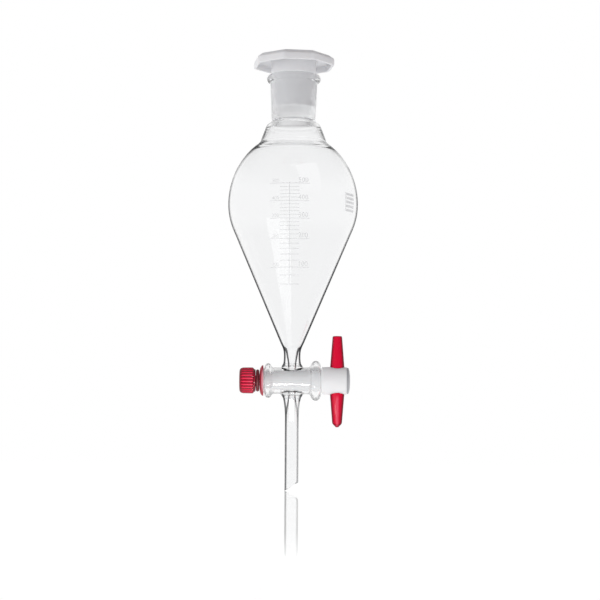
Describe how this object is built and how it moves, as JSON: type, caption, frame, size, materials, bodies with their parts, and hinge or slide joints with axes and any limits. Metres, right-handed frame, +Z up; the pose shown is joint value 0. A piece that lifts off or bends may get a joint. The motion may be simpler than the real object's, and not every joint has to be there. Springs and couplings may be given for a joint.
{
  "type": "separatory funnel",
  "caption": "Pear-shaped clear glass separatory funnel with a ground neck, octagonal hollow stopper, bevelled stem and a tapered-key stopcock turned by a red handle.",
  "frame": {"origin": "on the funnel's axis, in the plane of the support ring, where the lower cone of the bulb is 80 mm across", "axes": "+Z up along the funnel's axis, +X along the stopcock towards its handle, -Y towards the graduated front"},
  "size_m": [0.1026, 0.1026, 0.3436],
  "materials": {
    "clear_glass": "clear, ground on the inside of the neck",
    "white_plastic": "translucent, satin",
    "ptfe": "translucent, satin",
    "red_plastic": "satin",
    "cap_plastic": "satin",
    "washer_ptfe": "satin",
    "red_flange_plastic": "satin",
    "dark_red_rubber": "matt",
    "red_nut_plastic": "satin"
  },
  "bodies": {
    "glass": {"glass_body": "clear_glass"},
    "stopper": {"stopper": "white_plastic"},
    "key": {"stopcock_plug": "ptfe", "handle": "red_plastic", "head_end_cap": "cap_plastic"},
    "seal_stack": {"thrust_washer": "washer_ptfe", "tension_flange": "red_flange_plastic", "sealing_ring": "dark_red_rubber"},
    "nut": {"retaining_nut": "red_nut_plastic"}
  },
  "joints": [
    {"name": "stopper_lift", "type": "slide", "parent": "glass", "child": "stopper", "axis": [0, 0, 1], "range_m": [0, 0.08]},
    {"name": "key_turn", "type": "hinge", "parent": "glass", "child": "key", "pos_m": [0, 0, -0.10194], "axis": [1, 0, 0], "continuous": true},
    {"name": "seal_travel", "type": "slide", "parent": "key", "child": "seal_stack", "axis": [-1, 0, 0], "range_m": [0, 0.0051]},
    {"name": "nut_turn", "type": "hinge", "parent": "seal_stack", "child": "nut", "pos_m": [0, 0, -0.10194], "axis": [-1, 0, 0], "range_deg": [0, 900]}
  ],
  "couplings": [
    {"joint": "seal_travel", "follows": "nut_turn", "m_per_rad": 0.00031831}
  ]
}
